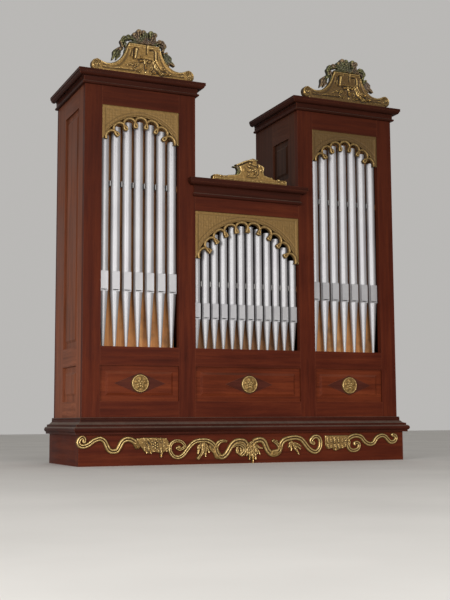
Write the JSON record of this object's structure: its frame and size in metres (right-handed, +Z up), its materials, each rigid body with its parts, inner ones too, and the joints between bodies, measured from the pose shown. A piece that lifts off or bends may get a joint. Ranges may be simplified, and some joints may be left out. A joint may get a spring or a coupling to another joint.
{
  "type": "pipe organ",
  "caption": "Small chamber pipe organ: panelled wooden case with side towers and a lower centre, tin front pipes under pierced gilt shades, carved crests and apron.",
  "frame": {"origin": "middle of the model's box on the floor, under the plinth", "axes": "+Z up, +Y from the front towards the back, +X to the right as seen from the front"},
  "size_m": [2.114, 0.643, 2.486],
  "materials": {
    "mahogany": "dark red mahogany under an old varnish, dusty on the base mouldings",
    "mahogany_dark": "darker mahogany stiles and mouldings under an old varnish",
    "bare_wood": "unvarnished orange brown boards inside the case",
    "old_gold": "carved wood, water gilded and worn, with dark glazing in the hollows",
    "leaf_paint": "carved leaves in a dark green glaze over gilding",
    "tin": "planed and burnished tin pipe metal"
  },
  "bodies": {
    "root": {"plinth_front": "mahogany", "plinth_sides": "mahogany", "plinth_back": "mahogany", "base_moulding": "mahogany_dark", "base_returns": "mahogany_dark", "case_floor": "bare_wood", "left_outer_stile": "mahogany_dark", "left_inner_stile": "mahogany_dark", "right_inner_stile": "mahogany_dark", "right_outer_stile": "mahogany_dark", "bottom_rails": "mahogany", "sill_rails": "mahogany", "frieze_rails": "mahogany", "left_lower_panel": "mahogany", "centre_lower_panel": "mahogany", "right_lower_panel": "mahogany", "rosettes": "old_gold", "left_shade": "old_gold", "centre_shade": "old_gold", "right_shade": "old_gold", "left_pipes": "tin", "centre_pipes": "tin", "right_pipes": "tin", "toe_boards": "bare_wood", "inner_boards": "bare_wood", "pipe_racks": "bare_wood", "rack_hooks": "tin", "side_stiles": "mahogany", "side_rails": "mahogany", "side_panels": "mahogany", "back_stiles": "mahogany_dark", "back_rails": "mahogany_dark", "back_panels": "mahogany", "roofs": "mahogany_dark", "left_cornice": "mahogany_dark", "centre_cornice": "mahogany_dark", "right_cornice": "mahogany_dark", "cornice_returns": "mahogany_dark", "left_crest": "old_gold", "centre_crest": "old_gold", "right_crest": "old_gold", "apron_left": "old_gold", "apron_right": "old_gold", "apron_pendant": "old_gold"}
  },
  "joints": []
}
